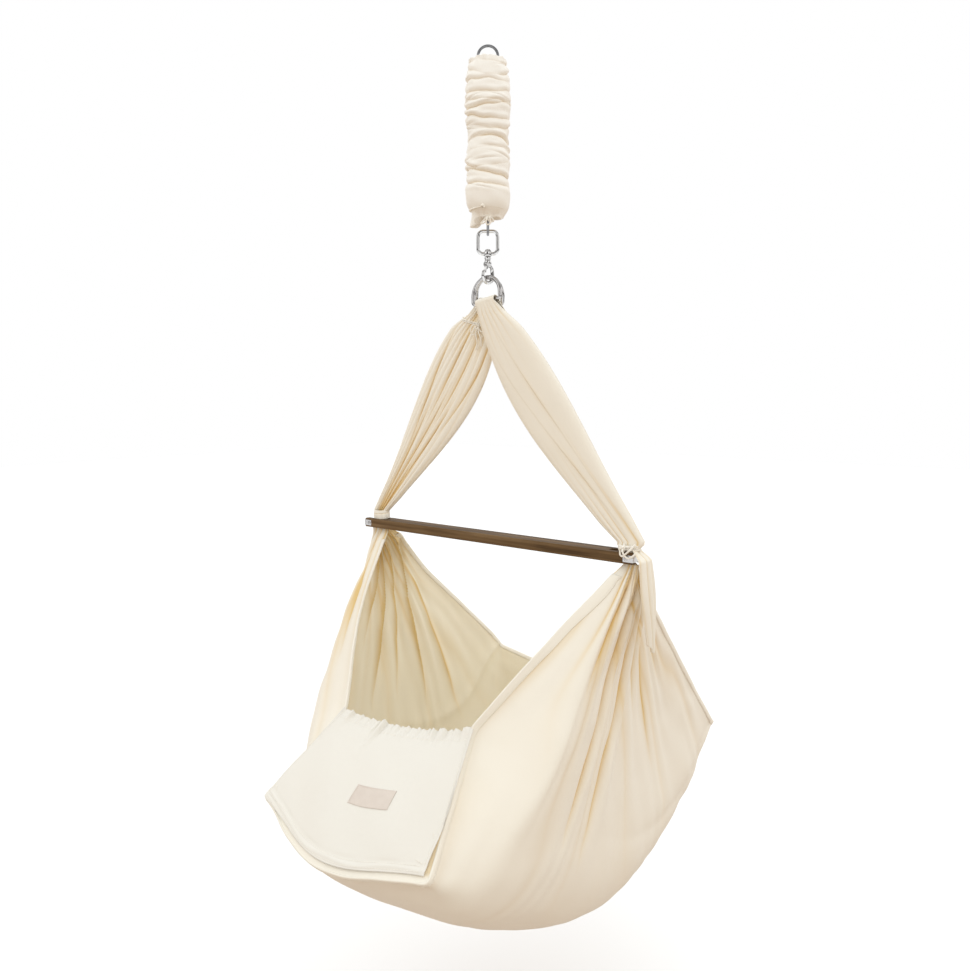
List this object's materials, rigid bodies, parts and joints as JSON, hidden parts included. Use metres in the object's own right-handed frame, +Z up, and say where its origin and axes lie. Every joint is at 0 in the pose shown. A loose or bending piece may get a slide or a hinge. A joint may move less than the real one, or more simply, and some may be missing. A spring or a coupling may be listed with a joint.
{
  "type": "hanging baby hammock",
  "caption": "Cloth baby hammock that hangs by two straps and a wooden spreader bar from a swivel snap hook and a sleeved spring.",
  "frame": {"origin": "the hang point, the inside top of the spring's upper eye, where a ceiling hook would bear", "axes": "+Z up, +X along the spreader bar, -Y towards the foot end with the gathered panel"},
  "size_m": [0.6321, 0.8354, 1.5333],
  "materials": {
    "cotton": "unbleached plain-weave cotton, matt",
    "panel_cotton": "double layer of the same cotton, matt",
    "mattress_cover": "quilted cotton cover over foam",
    "label": "small woven patch, blank",
    "cord": "twisted cotton cord",
    "walnut": "oiled walnut brown, fine straight grain",
    "spring_steel": "drawn spring steel wire",
    "ring_steel": "satin welded steel",
    "chrome": "bright chrome plate"
  },
  "bodies": {
    "spring_top": {"spring_upper_eye": "spring_steel", "safety_cord_upper_tie": "cord", "spring_coil": "spring_steel", "safety_cord": "cord", "spring_sleeve": "cotton", "sleeve_tie": "cord"},
    "spring_bottom": {"spring_lower_loop": "spring_steel", "safety_cord_lower_tie": "cord"},
    "bail": {"swivel_bail": "chrome"},
    "snap_hook": {"swivel_stem": "chrome", "hook_frame": "chrome", "gate_pin": "chrome", "gate_spring": "spring_steel"},
    "gate": {"hook_gate": "chrome"},
    "right_ring": {"d_ring_right": "ring_steel"},
    "left_ring": {"d_ring_left": "ring_steel"},
    "hammock": {"right_strap": "cotton", "left_strap": "cotton", "left_strap_tie": "cord", "spreader_bar": "walnut", "left_end_clip": "ring_steel", "right_end_clip": "ring_steel", "left_clip_screw_front": "ring_steel", "left_clip_screw_back": "ring_steel", "right_clip_screw_front": "ring_steel", "right_clip_screw_back": "ring_steel", "left_neck_cord": "cord", "right_neck_cord": "cord", "sling_left_side": "cotton", "sling_right_side": "cotton", "sling_floor_foot": "cotton", "sling_floor_head": "cotton", "foot_panel": "panel_cotton", "foot_panel_elastic": "cord", "label_patch": "label", "mattress": "mattress_cover", "right_fabric_tail": "cotton"}
  },
  "joints": [
    {"name": "spring_stretch", "type": "slide", "parent": "spring_top", "child": "spring_bottom", "axis": [0, 0, -1], "range_m": [0, 0.12], "stiffness_N_per_m": 900, "springref_m": -0.05, "deforming": ["spring_coil", "safety_cord", "spring_sleeve", "sleeve_tie"]},
    {"name": "bail_swing", "type": "hinge", "parent": "spring_bottom", "child": "bail", "pos_m": [0, 0, -0.3084], "axis": [-0.6157, 0.788, 0], "range_deg": [-20, 20]},
    {"name": "hook_swivel", "type": "hinge", "parent": "bail", "child": "snap_hook", "pos_m": [0, 0, -0.341], "axis": [0, 0, 1], "continuous": true},
    {"name": "gate_hinge", "type": "hinge", "parent": "snap_hook", "child": "gate", "pos_m": [0, -0.0035, -0.359], "axis": [1, 0, 0], "range_deg": [0, 18], "stiffness_Nm_per_rad": 0.02, "springref_deg": -20.05, "deforming": ["gate_spring"]},
    {"name": "right_ring_sway", "type": "hinge", "parent": "snap_hook", "child": "right_ring", "pos_m": [0, 0, -0.38967], "axis": [0, 1, 0], "range_deg": [-15, 15]},
    {"name": "left_ring_sway", "type": "hinge", "parent": "snap_hook", "child": "left_ring", "pos_m": [0, 0, -0.38967], "axis": [0, 1, 0], "range_deg": [-15, 15]},
    {"name": "hammock_rock", "type": "hinge", "parent": "right_ring", "child": "hammock", "pos_m": [0, 0, -0.424], "axis": [1, 0, 0], "range_deg": [-12, 12]}
  ],
  "couplings": [
    {"joint": "left_ring_sway", "follows": "right_ring_sway", "ratio": 1}
  ]
}
